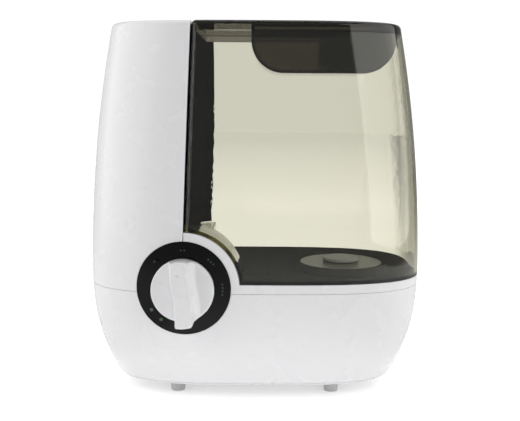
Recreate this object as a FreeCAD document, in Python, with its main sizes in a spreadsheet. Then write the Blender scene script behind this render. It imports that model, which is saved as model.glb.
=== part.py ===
"""Cool mist humidifier: white base and column, smoked lift-off water tank.

Origin: middle of the footprint, on the surface that the feet stand on.
+Z is up, the control knob faces -Y, the column stands at -X and the tank at +X.
Most parts are drawn about the housing's own vertical middle axis; placing() then moves the
whole set back by housing_back, so that the box around housing and knob is centred on Y = 0.
"""

import FreeCAD
import Part
import math
import os
import re
import Sketcher

V = FreeCAD.Vector
UP = V(0, 0, 1)
REAR = V(0, 1, 0)
RIGHT = V(1, 0, 0)
BIG = 400.0

SIZES = {
    # outer form of the housing
    "half_width": 142.5,
    "half_depth": 82.8,
    "widest_level": 97.0,
    "upper_bow": 1150.0,
    "lower_bow": 178.0,
    "depth_taper": 0.75,
    "plan_power": 3.2,
    "underside": 8.0,
    "top_level": 311.0,
    "top_round": 5.0,
    "bottom_round": 15.0,
    "housing_back": 10.35,
    # walls and gaps
    "wall": 2.5,
    "thin_wall": 2.0,
    "seam": 0.3,
    # levels of the seams
    "plate_seam": 12.0,
    "base_seam": 92.8,
    "rim_top": 100.5,
    "skirt_level": 303.0,
    # leaning face between column and tank
    "parting_x": -59.3,
    "parting_lean": 1.94,
    "parting_gap": 0.8,
    "tank_rear_round": 14.0,
    "tank_front_round": 4.5,
    "lid_round": 4.0,
    # dial
    "dial_x": -57.6,
    "dial_level": 97.0,
    "dial_hole_radius": 38.6,
    "bezel_radius": 38.3,
    "bezel_proud": 0.6,
    "bezel_deep": 2.4,
    "arch_radius": 45.6,
    "arch_depth": 36.0,
    "tunnel_radius": 46.3,
    "knob_radius": 25.3,
    "knob_back": 84.0,
    "knob_thick": 9.0,
    "grip_width": 17.0,
    "grip_overhang": 2.2,
    "grip_proud": 10.5,
    "shaft_radius": 3.0,
    "shaft_fit": 0.05,
    "shaft_front": 92.0,
    "shaft_back": 62.0,
    "shaft_hole": 5.0,
    "switch_radius": 15.0,
    "switch_front": 76.0,
    "switch_back": 58.0,
    "bracket_thick": 2.0,
    "bracket_half": 21.0,
    "bracket_drop": 32.0,
    "bezel_post": 2.5,
    "bezel_post_place": 14.5,
    "lamp_radius": 1.5,
    "lamp_ring": 32.0,
    # basin
    "tray_top": 100.0,
    "tray_plate": 2.0,
    "ledge_inset": 5.5,
    "ledge_low": 95.2,
    "trough_floor": 80.0,
    "well_radius": 42.5,
    "channel_front": 0.0,
    "channel_rear": 28.0,
    "chamber_left": -116.0,
    "chamber_right": -63.0,
    "chamber_half": 30.0,
    "chamber_floor": 58.0,
    "sound_hole": 10.0,
    # tank
    "tank_low": 100.8,
    "tank_floor": 103.3,
    "neck_outer": 38.0,
    "neck_inner": 35.3,
    "neck_top": 110.5,
    "boss_x": 1.0,
    "boss_y": -46.0,
    "boss_radius": 12.5,
    "boss_high": 4.0,
    "magnet_radius": 9.5,
    "magnet_thick": 3.4,
    "shelf_right": -39.5,
    "shelf_top": 128.0,
    # pocket and handle in the tank's top
    "pocket_left": -4.0,
    "pocket_right": 116.0,
    "pocket_front": -34.0,
    "pocket_rear": 26.0,
    "pocket_floor": 270.5,
    "pocket_round": 27.0,
    "bar_front": -13.0,
    "bar_rear": 5.0,
    "bar_low": 300.5,
    "bar_top": 308.0,
    "web_thick": 3.2,
    # cap and valve
    "cap_x": 74.0,
    "cap_y": -28.0,
    "cap_radius": 34.8,
    "cap_flange": 41.0,
    "cap_flange_low": 97.6,
    "cap_flange_top": 99.4,
    "cap_under_disc": 107.8,
    "cap_top": 110.2,
    "cap_grip_low": 99.0,
    "cap_grip_wide": 5.0,
    "gasket_inner": 36.0,
    "gasket_top": 100.6,
    "hub_radius": 6.5,
    "hub_low": 98.5,
    "drain_ring": 10.5,
    "drain_radius": 2.4,
    "stem_radius": 2.5,
    "stem_foot_radius": 5.5,
    "stem_foot_low": 88.5,
    "stem_foot_top": 90.0,
    "valve_disc_radius": 15.5,
    "valve_disc_low": 112.0,
    "valve_disc_top": 114.0,
    "seal_low": 110.4,
    "spring_radius": 4.3,
    "spring_wire": 0.45,
    "spring_turns": 5.0,
    "post_radius": 4.0,
    "post_top": 88.2,
    # float
    "float_x": 5.0,
    "float_y": 14.0,
    "float_radius": 10.5,
    "float_low": 82.0,
    "float_top": 91.5,
    "float_bore": 2.6,
    "pin_radius": 2.1,
    "pin_top": 98.0,
    # air and mist path
    "fan_left": -130.0,
    "fan_thick": 15.0,
    "fan_half": 30.0,
    "fan_level": 167.0,
    "fan_hole": 27.5,
    "rotor_radius": 26.3,
    "rotor_hub": 11.0,
    "motor_radius": 8.0,
    "rotor_gap": 0.8,
    "blade_count": 7.0,
    "blade_thick": 1.2,
    "blade_lean": 48.0,
    "spoke_count": 3.0,
    "spoke_thick": 1.6,
    "spoke_wide": 3.0,
    "duct_deep": 14.0,
    "duct_half": 31.0,
    "duct_top": 199.0,
    "duct_wall": 1.5,
    "lid_low": 100.2,
    "lid_top": 102.2,
    "chimney_x": -80.0,
    "chimney_radius": 17.0,
    "chimney_bore": 15.5,
    "chimney_top": 301.6,
    "chimney_flange": 22.0,
    "chimney_flange_top": 303.6,
    "outlet_radius": 22.0,
    "outlet_hole": 22.4,
    "outlet_low": 303.9,
    "outlet_spigot_low": 296.0,
    "outlet_spigot": 15.2,
    "outlet_bore": 13.4,
    "outlet_rim": 2.5,
    "outlet_dish": 3.0,
    "slat_count": 5.0,
    "slat_thick": 1.2,
    "slat_wide": 7.0,
    "slat_lean": 28.0,
    "louvre_count": 6.0,
    "louvre_pitch": 10.0,
    "louvre_low": 142.0,
    "louvre_high": 3.4,
    "louvre_half": 34.0,
    # sound head and electronics
    "disc_radius": 12.0,
    "disc_thick": 1.0,
    "ring_seal_outer": 14.5,
    "ring_seal_low": 54.0,
    "chamber_under": 56.0,
    "retainer_radius": 19.0,
    "retainer_low": 50.5,
    "sink_half": 18.0,
    "sink_low": 34.0,
    "sink_plate_low": 47.5,
    "fin_count": 7.0,
    "board_low": 24.0,
    "board_thick": 1.6,
    "board_half": 28.0,
    "driver_left": -112.0,
    "driver_right": -44.0,
    "power_left": 32.0,
    "power_right": 112.0,
    "board_hole": 1.4,
    "standoff_radius": 3.0,
    "standoff_inset": 6.0,
    "core_left": 52.0,
    "core_right": 92.0,
    "core_half": 18.0,
    "core_high": 30.0,
    "coil_half": 24.0,
    "coil_inset": 5.0,
    "socket_long": 8.0,
    "socket_wide": 5.0,
    "socket_high": 6.0,
    "socket_pitch": 12.0,
    # feet, screws and gland
    "foot_x": 66.0,
    "foot_y": 44.0,
    "foot_radius": 6.6,
    "foot_low_radius": 5.8,
    "foot_spigot": 2.9,
    "foot_spigot_top": 11.6,
    "screw_x": 98.0,
    "screw_y": 34.0,
    "screw_radius": 1.9,
    "screw_head": 3.6,
    "screw_head_low": 8.4,
    "screw_head_top": 10.0,
    "screw_top": 30.0,
    "pillar_radius": 5.0,
    "pillar_top": 34.0,
    "gland_x": -92.0,
    "gland_level": 34.0,
    "gland_radius": 6.5,
    "gland_flange": 8.5,
    "gland_bore": 3.4,
    "gland_proud": 1.5,
    # slots in the bottom plate
    "vent_count": 8.0,
    "vent_pitch": 8.0,
    "vent_wide": 3.0,
    "vent_half": 24.0,
}

doc = FreeCAD.newDocument("humidifier")
sheet = doc.addObject("Spreadsheet::Sheet", "Sheet")
for row, (alias, value) in enumerate(SIZES.items(), start=1):
    sheet.set("A%d" % row, alias)
    sheet.set("B%d" % row, str(value))
    sheet.setAlias("B%d" % row, alias)
doc.recompute()

parts = []


# ---------------------------------------------------------------- helpers

def size(alias):
    """A driving dimension, read from the sheet."""
    return float(sheet.get(alias))


def formula(text):
    """An expression in which every alias is looked up in the sheet."""
    return re.sub(r"[a-z_]+", lambda found: "Sheet." + found.group(0)
                  if found.group(0) in SIZES else found.group(0), str(text))


def amount(text):
    """The present value of such an expression."""
    return float(sheet.evalExpression(formula(text)))


def keep(piece, label):
    """Name a finished sub-part and put it on the list of parts."""
    piece.Label = label
    parts.append(piece)
    return piece


def bind(target, **links):
    """Tie properties of an object to the sheet; a double underscore stands for a dot."""
    for name, text in links.items():
        target.setExpression(name.replace("__", "."), formula(text))


def stand_at(target, across="0", back="0", up="0"):
    bind(target, Placement__Base__x=across, Placement__Base__y=back, Placement__Base__z=up)
    return target


def new_body(name):
    return doc.addObject("PartDesign::Body", name)


def sketch_on(body, role, name, offset=None):
    """An empty sketch on one of the body's own origin planes."""
    sketch = body.newObject("Sketcher::SketchObject", name)
    plane = next(item for item in body.Origin.OriginFeatures if item.Role == role)
    sketch.AttachmentSupport = [(plane, "")]
    sketch.MapMode = "FlatFace"
    if offset is not None:
        sketch.setExpression("AttachmentOffset.Base.z", formula(offset))
    return sketch


def drive(sketch, kind, geometry, point, text):
    """One driving dimension from the sketch's origin, tied to the sheet."""
    if kind == "Radius":
        index = sketch.addConstraint(Sketcher.Constraint(kind, geometry, amount(text)))
    else:
        index = sketch.addConstraint(
            Sketcher.Constraint(kind, -1, 1, geometry, point, amount(text)))
    sketch.setExpression("Constraints[%d]" % index, formula(text))


def polygon(sketch, corners):
    """A closed outline whose corners are pairs of expressions."""
    first = len(sketch.Geometry)
    places = [V(amount(across), amount(up), 0) for across, up in corners]
    count = len(places)
    for index in range(count):
        line = Part.LineSegment(places[index], places[(index + 1) % count])
        sketch.addGeometry(line, False)
    for index in range(count):
        follower = first + (index + 1) % count
        sketch.addConstraint(Sketcher.Constraint("Coincident", first + index, 2, follower, 1))
    for index, (across, up) in enumerate(corners):
        drive(sketch, "DistanceX", first + index, 1, across)
        drive(sketch, "DistanceY", first + index, 1, up)


def circle(sketch, across, up, radius):
    first = len(sketch.Geometry)
    sketch.addGeometry(Part.Circle(V(amount(across), amount(up), 0), UP, amount(radius)), False)
    drive(sketch, "DistanceX", first, 3, across)
    drive(sketch, "DistanceY", first, 3, up)
    drive(sketch, "Radius", first, 0, radius)


def turned(label, *outlines):
    """A body of revolution about its own Z axis, from outlines in radius and height."""
    body = new_body(label)
    for number, corners in enumerate(outlines):
        sketch = sketch_on(body, "XZ_Plane", "%s_outline_%d" % (label, number))
        polygon(sketch, corners)
        turn = body.newObject("PartDesign::Revolution", "%s_turn_%d" % (label, number))
        turn.Profile = sketch
        turn.ReferenceAxis = (sketch, ["V_Axis"])
        turn.Angle = 360
    return keep(body, label)


def plate_with_holes(label, low, thick, corners, holes):
    """A flat plate, padded up from the given level, with round holes through it."""
    body = new_body(label)
    outline = sketch_on(body, "XY_Plane", label + "_outline", low)
    polygon(outline, corners)
    for across, back, radius in holes:
        circle(outline, across, back, radius)
    pad = body.newObject("PartDesign::Pad", label + "_pad")
    pad.Profile = outline
    bind(pad, Length=thick)
    return keep(body, label)


def rectangle(left, right, front, rear):
    return [(left, front), (right, front), (right, rear), (left, rear)]


def box_between(name, left, right, front, rear, low, high):
    """A Part::Box between six expressions."""
    box = doc.addObject("Part::Box", name)
    bind(box, Length="(%s) - (%s)" % (right, left), Width="(%s) - (%s)" % (rear, front),
         Height="(%s) - (%s)" % (high, low))
    return stand_at(box, left, front, low)


def rod(name, across, back, low, high, radius):
    """An upright Part::Cylinder."""
    cylinder = doc.addObject("Part::Cylinder", name)
    bind(cylinder, Radius=radius, Height="(%s) - (%s)" % (high, low))
    return stand_at(cylinder, across, back, low)


def joined(name, pieces):
    union = doc.addObject("Part::MultiFuse", name)
    union.Shapes = pieces
    return union


def grouped(name, pieces):
    group = doc.addObject("Part::Compound", name)
    group.Links = pieces
    return group


def less(name, base, tool):
    cut = doc.addObject("Part::Cut", name)
    cut.Base = base
    cut.Tool = tool
    return cut


def shaped(label, shape):
    """A Part::Feature for a shape that neither sketches nor primitives make."""
    piece = doc.addObject("Part::Feature", label)
    piece.Shape = shape
    return keep(piece, label)


# ------------------------------------------------------- the housing's outer form

def half_width(level):
    """Half the housing's width: a long bow above the widest level, a tighter one below."""
    rise = level - size("widest_level")
    bow = size("upper_bow") if rise > 0 else size("lower_bow")
    return size("half_width") - (bow - math.sqrt(bow * bow - rise * rise))


def half_depth(level):
    return size("half_depth") - size("depth_taper") * (size("half_width") - half_width(level))


def outline(level, inset):
    """Plan outline at a level: a superellipse, sampled by angle from the rear middle."""
    wide = half_width(level) - inset
    deep = half_depth(level) - inset
    power = size("plan_power")
    points = []
    for step in range(48):
        angle = math.radians(90 + step * 7.5)
        across = abs(math.cos(angle) / wide) ** power
        along = abs(math.sin(angle) / deep) ** power
        reach = (across + along) ** (-1 / power)
        points.append(V(reach * math.cos(angle), reach * math.sin(angle), level))
    curve = Part.BSplineCurve()
    curve.interpolate(Points=points, PeriodicFlag=True)
    return Part.Wire(curve.toShape())


def edges_at(solid, level):
    return [edge for edge in solid.Edges
            if abs(edge.BoundBox.ZMin - level) < 0.01 and abs(edge.BoundBox.ZMax - level) < 0.01]


hulls = {}


def hull_ends(inset):
    """Lowest and highest level of the form whose walls are moved in by inset."""
    return size("underside") + max(inset, 0), size("top_level") - max(inset, 0)


def sharp_hull(inset):
    """The outer form as one solid, every wall moved in by inset, with sharp end edges."""
    if ("sharp", inset) not in hulls:
        low, high = hull_ends(inset)
        steps = 11
        levels = [low + (high - low) * step / (steps - 1) for step in range(steps)]
        hulls["sharp", inset] = Part.makeLoft([outline(level, inset) for level in levels],
                                              True, False)
    return hulls["sharp", inset]


def hull(inset):
    """The same form with its bottom and top edges rounded."""
    if inset not in hulls:
        low, high = hull_ends(inset)
        form = sharp_hull(inset)
        form = form.makeFillet(size("bottom_round") - inset, edges_at(form, low))
        form = form.makeFillet(max(size("top_round") - inset, 1.0), edges_at(form, high))
        hulls[inset] = form
    return hulls[inset]


def slab(low, high, left=-BIG, right=BIG, front=-BIG, rear=BIG):
    return Part.makeBox(right - left, rear - front, high - low, V(left, front, low))


def layer(inset, low, high):
    """The part of the hull between two levels."""
    straight_low = size("underside") + size("bottom_round")
    straight_high = size("top_level") - size("top_round")
    straight = low >= straight_low and high <= straight_high
    form = sharp_hull(inset) if straight else hull(inset)
    return form.common(slab(low, high))


def right_of_parting(offset):
    """Everything to the right of the leaning face, moved by offset."""
    block = Part.makeBox(BIG, 2 * BIG, 2 * BIG, V(0, -BIG, -BIG))
    block.rotate(V(0, 0, 0), REAR, size("parting_lean"))
    block.translate(V(size("parting_x") + offset, 0, size("widest_level")))
    return block


def dial_drum(radius, front, rear):
    """A cylinder about the dial's axis, between two depths."""
    start = V(size("dial_x"), front, size("dial_level"))
    return Part.makeCylinder(radius, rear - front, start, REAR)


def arch_rear():
    return -size("half_depth") + size("arch_depth")


def tank_form(inset, low, high):
    """Outer or inner form of the tank, with its two upright left corners rounded."""
    side = right_of_parting(size("parting_gap") + inset)
    form = sharp_hull(inset).common(slab(low, high)).common(side)
    upright = [edge for edge in form.Edges if edge.BoundBox.ZLength > 0.8 * (high - low)
               and edge.BoundBox.XMax < 0]
    rear = [edge for edge in upright if edge.BoundBox.YMin > 0]
    front = [edge for edge in upright if edge.BoundBox.YMax < 0]
    form = form.makeFillet(size("tank_rear_round") - inset, rear)
    form = form.makeFillet(size("tank_front_round") - inset, front)
    top = hull_ends(inset)[1]
    if high >= top:
        form = form.makeFillet(size("lid_round") - inset, edges_at(form, top))
    return form


# ------------------------------------------------------------------ base

def base_shell():
    low = size("plate_seam") + size("seam")
    wall = size("wall")
    shell = layer(0, low, size("base_seam")).cut(hull(wall))
    shell = shell.cut(dial_drum(size("dial_hole_radius"), -BIG, arch_rear()))
    bores = []
    pillars = []
    for side_x in (-1, 1):
        for side_y in (-1, 1):
            x = side_x * size("screw_x")
            y = side_y * size("screw_y")
            radius = size("pillar_radius")
            height = size("pillar_top") - low
            pillars.append(Part.makeCylinder(radius, height, V(x, y, low)))
            near, far = sorted((y, side_y * BIG))
            rib = slab(low + 8, size("pillar_top"), x - 1, x + 1, near, far)
            pillars.append(rib.common(sharp_hull(wall / 2)))
            bores.append(Part.makeCylinder(size("screw_radius"), BIG, V(x, y, 0)))
    gland = Part.makeCylinder(size("gland_radius"), BIG,
                              V(size("gland_x"), 0, size("gland_level")), REAR)
    return shaped("base_shell", shell.fuse(pillars).cut(bores + [gland]))


def bottom_plate():
    low = size("underside")
    wall = size("wall")
    tray = layer(0, low, size("plate_seam")).cut(hull(wall))
    tools = []
    for side_x in (-1, 1):
        for side_y in (-1, 1):
            foot = V(side_x * size("foot_x"), side_y * size("foot_y"), 0)
            tools.append(Part.makeCylinder(size("foot_spigot") + 0.1, BIG, foot))
            screw = V(side_x * size("screw_x"), side_y * size("screw_y"), 0)
            tools.append(Part.makeCylinder(size("screw_radius") + 0.3, BIG, screw))
            tools.append(Part.makeCylinder(size("screw_head") + 0.3, size("screw_head_top"), screw))
    half = size("vent_wide") / 2
    count = int(size("vent_count"))
    for number in range(count):
        x = (number - (count - 1) / 2) * size("vent_pitch")
        tools.append(slab(0, low + wall + 1, x - half, x + half, -size("vent_half"),
                          size("vent_half")))
    plate = tray.cut(tools)
    posts = []
    for x, y in board_posts():
        height = size("board_low") - low - wall
        posts.append(Part.makeCylinder(size("standoff_radius"), height, V(x, y, low + wall)))
    return shaped("bottom_plate", plate.fuse(posts))


def board_posts():
    """Places of the posts under the two circuit boards, the driver's four first."""
    inset = size("standoff_inset")
    back = size("board_half") - inset
    places = []
    for board in ("driver", "power"):
        left = size(board + "_left") + inset
        right = size(board + "_right") - inset
        places += [(x, y) for x in (left, right) for y in (-back, back)]
    return places


def rubber_feet():
    feet = []
    for side_x in (-1, 1):
        for side_y in (-1, 1):
            name = "foot_%d_%d" % (side_x, side_y)
            pad = doc.addObject("Part::Cone", name + "_pad")
            bind(pad, Radius1="foot_low_radius", Radius2="foot_radius", Height="underside")
            stand_at(pad, "%d * foot_x" % side_x, "%d * foot_y" % side_y)
            spigot = rod(name + "_spigot", "%d * foot_x" % side_x, "%d * foot_y" % side_y,
                         "underside - 1", "foot_spigot_top", "foot_spigot")
            feet.append(joined(name, [pad, spigot]))
    keep(grouped("feet", feet), "rubber_feet")


def base_screws():
    screws = []
    for side_x in (-1, 1):
        for side_y in (-1, 1):
            name = "screw_%d_%d" % (side_x, side_y)
            across = "%d * screw_x" % side_x
            back = "%d * screw_y" % side_y
            head = rod(name + "_head", across, back, "screw_head_low", "screw_head_top", "screw_head")
            shank = rod(name + "_shank", across, back, "screw_head_top - 0.5", "screw_top",
                        "screw_radius - 0.05")
            recess = rod(name + "_recess", across, back, "screw_head_low - 1",
                         "screw_head_low + 0.8", "screw_head / 2.5")
            screws.append(less(name, joined(name + "_solid", [head, shank]), recess))
    keep(grouped("screws", screws), "base_screws")


def deck_ring():
    """White rim under the tank, the ledge that carries the basin, and the arch by the dial."""
    low = size("base_seam") + size("seam")
    wall = size("wall")
    top = size("rim_top")
    right = right_of_parting(size("seam"))
    band = layer(0, low, top).common(right).cut(sharp_hull(wall))
    ledge_top = size("tray_top") - size("tray_plate")
    ledge = layer(wall + 0.4, size("ledge_low"), ledge_top)
    ledge = ledge.cut(sharp_hull(size("ledge_inset")))
    bridge = layer(wall - 0.2, size("ledge_low"), ledge_top).common(right)
    bridge = bridge.cut(sharp_hull(wall + 0.5))
    rear = arch_rear()
    arch = dial_drum(size("arch_radius"), -BIG, rear).common(layer(0, low, BIG))
    hollow = dial_drum(size("dial_hole_radius"), -BIG, rear - wall)
    cheek = slab(low, BIG, left=size("dial_x") + size("seam"))
    arch = arch.common(cheek).cut(hollow)
    drum = dial_drum(size("arch_radius") - 1, -BIG, rear)
    return shaped("deck_ring", band.fuse([ledge, bridge]).cut(drum).fuse(arch))


def basin_tray():
    """Dark basin: a plate under the tank, the cap's well, a channel and the mist chamber."""
    top = size("tray_top")
    wall = size("thin_wall")
    plate_low = top - size("tray_plate")

    def trough(grow):
        low = size("trough_floor") - grow
        cap = Part.makeCylinder(size("well_radius") + grow, top - low,
                                V(size("cap_x"), size("cap_y"), low))
        channel = slab(low, top, size("chamber_right") - 5 - grow, size("cap_x") - 20 + grow,
                       size("channel_front") - grow, size("channel_rear") + grow)
        chamber = slab(size("chamber_floor") - grow, top, size("chamber_left") - grow,
                       size("chamber_right") + grow, -size("chamber_half") - grow,
                       size("chamber_half") + grow)
        chamber = chamber.makeFillet(4 + grow, [edge for edge in chamber.Edges
                                                if edge.BoundBox.ZLength > 10])
        return cap.fuse([channel, chamber])

    plate = layer(size("wall") + 0.3, plate_low, top)
    tray = plate.fuse(trough(wall)).cut(trough(0))
    tray = tray.cut(dial_drum(size("arch_radius") + 0.2, -BIG, arch_rear() + 0.3))
    post = Part.makeCylinder(size("post_radius"), size("post_top") - size("trough_floor") + 1,
                             V(size("cap_x"), size("cap_y"), size("trough_floor") - 1))
    pin = Part.makeCylinder(size("pin_radius"), size("pin_top") - size("trough_floor") + 1,
                            V(size("float_x"), size("float_y"), size("trough_floor") - 1))
    hole = Part.makeCylinder(size("sound_hole"), 10, V(size("chimney_x"), 0,
                                                       size("chamber_under") - 5))
    return shaped("basin_tray", tray.fuse([post, pin]).cut(hole))


# ------------------------------------------------------------------ column

def column_cover():
    """White outer wall and top of the column, open towards the tank."""
    low = size("base_seam") + size("seam")
    cover = layer(0, low, BIG).cut(right_of_parting(0)).cut(hull(size("wall")))
    cover = cover.cut(dial_drum(size("dial_hole_radius"), -BIG, 0))
    tools = [Part.makeCylinder(size("outlet_hole"), 20, V(size("chimney_x"), 0,
                                                          size("top_level") - 10))]
    for number in range(int(size("louvre_count"))):
        low = size("louvre_low") + number * size("louvre_pitch")
        slot = slab(low, low + size("louvre_high"), -BIG, -124, -size("louvre_half"),
                    size("louvre_half"))
        tools.append(slot)
    return shaped("column_cover", cover.cut(tools))


def column_side():
    """Black wall that closes the column towards the tank, inside the cover's lip."""
    wall = size("wall")
    side = layer(wall, size("tray_top") + size("seam"), BIG)
    side = side.common(right_of_parting(-wall)).cut(right_of_parting(0))
    return shaped("column_side", side.cut(dial_drum(size("dial_hole_radius"), -BIG, 0)))


def chamber_lid():
    plate_with_holes(
        "chamber_lid", "lid_low", "lid_top - lid_low",
        rectangle("chamber_left - 1", "chamber_right + 0.8", "-chamber_half - 1",
                  "chamber_half + 1"),
        [("chimney_x", "0", "chimney_bore")])
    lid = doc.getObject("chamber_lid")
    window = sketch_on(lid, "XY_Plane", "chamber_lid_window", "lid_low")
    left = "fan_left + fan_thick + seam + duct_wall"
    polygon(window, rectangle(left, "fan_left + fan_thick + seam + duct_deep - duct_wall",
                              "-chamber_half + 3", "chamber_half - 3"))
    pocket = lid.newObject("PartDesign::Pocket", "chamber_lid_pocket")
    pocket.Profile = window
    pocket.Type = 1
    pocket.Reversed = True


def mist_duct():
    turned("mist_duct", [
        ("chimney_bore", "lid_top"), ("chimney_radius + 1.5", "lid_top"),
        ("chimney_radius + 1.5", "lid_top + 2"), ("chimney_radius", "lid_top + 2"),
        ("chimney_radius", "chimney_top"), ("chimney_flange", "chimney_top"),
        ("chimney_flange", "chimney_flange_top"), ("chimney_bore", "chimney_flange_top")])
    stand_at(doc.getObject("mist_duct"), "chimney_x")


def mist_outlet():
    """Rotating outlet: a ring in the column's top whose slats lean the mist forwards."""
    low = size("outlet_low")
    top = size("top_level")
    bore = size("outlet_bore")
    ring = Part.makeCylinder(size("outlet_radius"), top - low, V(0, 0, low))
    spigot_low = size("outlet_spigot_low")
    spigot = Part.makeCylinder(size("outlet_spigot"), low - spigot_low + 1, V(0, 0, spigot_low))
    deep = size("outlet_dish")
    dish = Part.makeCone(bore, size("outlet_radius") - size("outlet_rim"), deep,
                         V(0, 0, top - deep))
    opening = Part.makeCylinder(bore, BIG, V(0, 0, 0))
    ring = ring.fuse(spigot).cut([opening, dish])
    slats = []
    thick = size("slat_thick")
    count = int(size("slat_count"))
    for number in range(count):
        y = (number - (count - 1) / 2) * 2 * bore / count
        slat = Part.makeBox(2 * bore + 2, thick, size("slat_wide"),
                            V(-bore - 1, y - thick / 2, low - 0.5))
        slat.rotate(V(0, y, low + 3), RIGHT, size("slat_lean"))
        slats.append(slat.common(Part.makeCylinder(bore + 0.4, 12, V(0, 0, low - 2))))
    return stand_at(shaped("mist_outlet", ring.fuse(slats)), "chimney_x")


def air_duct():
    """Flat box duct that takes the fan's air down through the chamber's lid."""
    wall = "duct_wall"
    left = "fan_left + fan_thick + seam"
    right = left + " + duct_deep"
    outer = box_between("air_duct_outer", left, right, "-duct_half", "duct_half",
                        "lid_top", "duct_top")
    inner = box_between("air_duct_inner", left + " + " + wall, right + " - " + wall,
                        "-duct_half + " + wall, "duct_half - " + wall,
                        "lid_top - 1", "duct_top - " + wall)
    port = doc.addObject("Part::Cylinder", "air_duct_port")
    bind(port, Radius="fan_hole", Height="duct_deep / 2")
    port.Placement = FreeCAD.Placement(V(0, 0, 0), FreeCAD.Rotation(REAR, 90))
    stand_at(port, left + " - 2", "0", "fan_level")
    keep(less("duct", outer, joined("air_duct_space", [inner, port])), "air_duct")


def fan():
    """Axial fan: frame, motor and bladed rotor, about an axis along X."""
    half = "fan_half"
    frame = box_between("fan_frame_block", "fan_left", "fan_left + fan_thick", "-" + half, half,
                        "fan_level - fan_half", "fan_level + fan_half")
    bore = doc.addObject("Part::Cylinder", "fan_frame_bore")
    bind(bore, Radius="fan_hole", Height="fan_thick + 2")
    bore.Placement = FreeCAD.Placement(V(0, 0, 0), FreeCAD.Rotation(REAR, 90))
    stand_at(bore, "fan_left - 1", "0", "fan_level")
    spokes = []
    spoke_left = "fan_left + fan_thick - spoke_thick"
    count = int(size("spoke_count"))
    for number in range(count):
        spoke = doc.addObject("Part::Box", "fan_spoke_%d" % number)
        bind(spoke, Length="spoke_thick", Width="spoke_wide", Height="fan_hole + 1")
        turn = FreeCAD.Rotation(RIGHT, 360 * number / count)
        shift = turn.multVec(V(0, -size("spoke_wide") / 2, 0))
        spoke.Placement = FreeCAD.Placement(shift, turn)
        stand_at(spoke, spoke_left, str(shift.y), "fan_level + %f" % shift.z)
        spokes.append(spoke)
    ring = less("fan_frame_ring", frame, bore)
    hub = doc.addObject("Part::Cylinder", "fan_frame_hub")
    bind(hub, Radius="rotor_hub", Height="spoke_thick")
    hub.Placement = FreeCAD.Placement(V(0, 0, 0), FreeCAD.Rotation(REAR, 90))
    stand_at(hub, spoke_left, "0", "fan_level")
    keep(joined("frame", [ring, hub] + spokes), "fan_frame")

    motor = doc.addObject("Part::Cylinder", "motor")
    bind(motor, Radius="motor_radius", Height="fan_thick - 5")
    motor.Placement = FreeCAD.Placement(V(0, 0, 0), FreeCAD.Rotation(REAR, 90))
    stand_at(motor, "fan_left + 3.4", "0", "fan_level")
    keep(motor, "fan_motor")

    left = size("fan_left") + size("rotor_gap")
    level = size("fan_level")
    deep = size("fan_thick") - size("spoke_thick") - 1.8
    cup = Part.makeCylinder(size("rotor_hub"), deep, V(left, 0, level), RIGHT)
    cup = cup.cut(Part.makeCylinder(size("motor_radius") + 0.5, deep, V(left + 2, 0, level), RIGHT))
    blades = []
    thick = size("blade_thick")
    for number in range(int(size("blade_count"))):
        blade = Part.makeBox(thick, deep, size("rotor_radius") - size("rotor_hub") + 0.5,
                             V(-thick / 2, -deep / 2, size("rotor_hub") - 0.5))
        blade.rotate(V(0, 0, 0), UP, size("blade_lean"))
        blade.translate(V(left + deep / 2, 0, 0))
        blade.rotate(V(0, 0, 0), RIGHT, 360 * number / size("blade_count"))
        blade.translate(V(0, 0, level))
        blades.append(blade)
    reach = Part.makeCylinder(size("rotor_radius"), deep, V(left, 0, level), RIGHT)
    swept = blades[0].fuse(blades[1:]).common(reach)
    core = Part.makeCylinder(size("rotor_hub") - 0.5, deep + 2, V(left - 1, 0, level), RIGHT)
    shaped("fan_rotor", cup.fuse(swept.cut(core)))


# ------------------------------------------------------------------ dial

def dial_bezel():
    """Black ring that follows the housing's curve, with four posts that carry the switch."""
    proud = sharp_hull(-size("bezel_proud"))
    inner = sharp_hull(size("bezel_deep"))
    ring = proud.cut(inner).common(dial_drum(size("bezel_radius"), -BIG, 0))
    ring = ring.cut(dial_drum(size("shaft_hole"), -BIG, 0)).cut(lamp_holes(0.0))
    front = -size("half_depth")
    length = -size("switch_back") - front
    posts = []
    for side_x in (-1, 1):
        for side_z in (-1, 1):
            start = V(size("dial_x") + side_x * size("bezel_post_place"), front,
                      size("dial_level") + side_z * size("bezel_post_place"))
            post = Part.makeCylinder(size("bezel_post"), length, start, REAR)
            posts.append(post.common(sharp_hull(0)))
    return shaped("dial_bezel", ring.fuse(posts))


def lamp_holes(shrink):
    holes = []
    for angle in (215, 235):
        x = size("dial_x") + size("lamp_ring") * math.cos(math.radians(angle))
        level = size("dial_level") + size("lamp_ring") * math.sin(math.radians(angle))
        holes.append(Part.makeCylinder(size("lamp_radius") - shrink, BIG, V(x, -BIG, level), REAR))
    return holes


def indicator_lenses():
    skin = sharp_hull(-size("bezel_proud")).cut(sharp_hull(size("bezel_deep")))
    lenses = [hole.common(skin) for hole in lamp_holes(0.05)]
    return shaped("indicator_lenses", Part.makeCompound(lenses))


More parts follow.
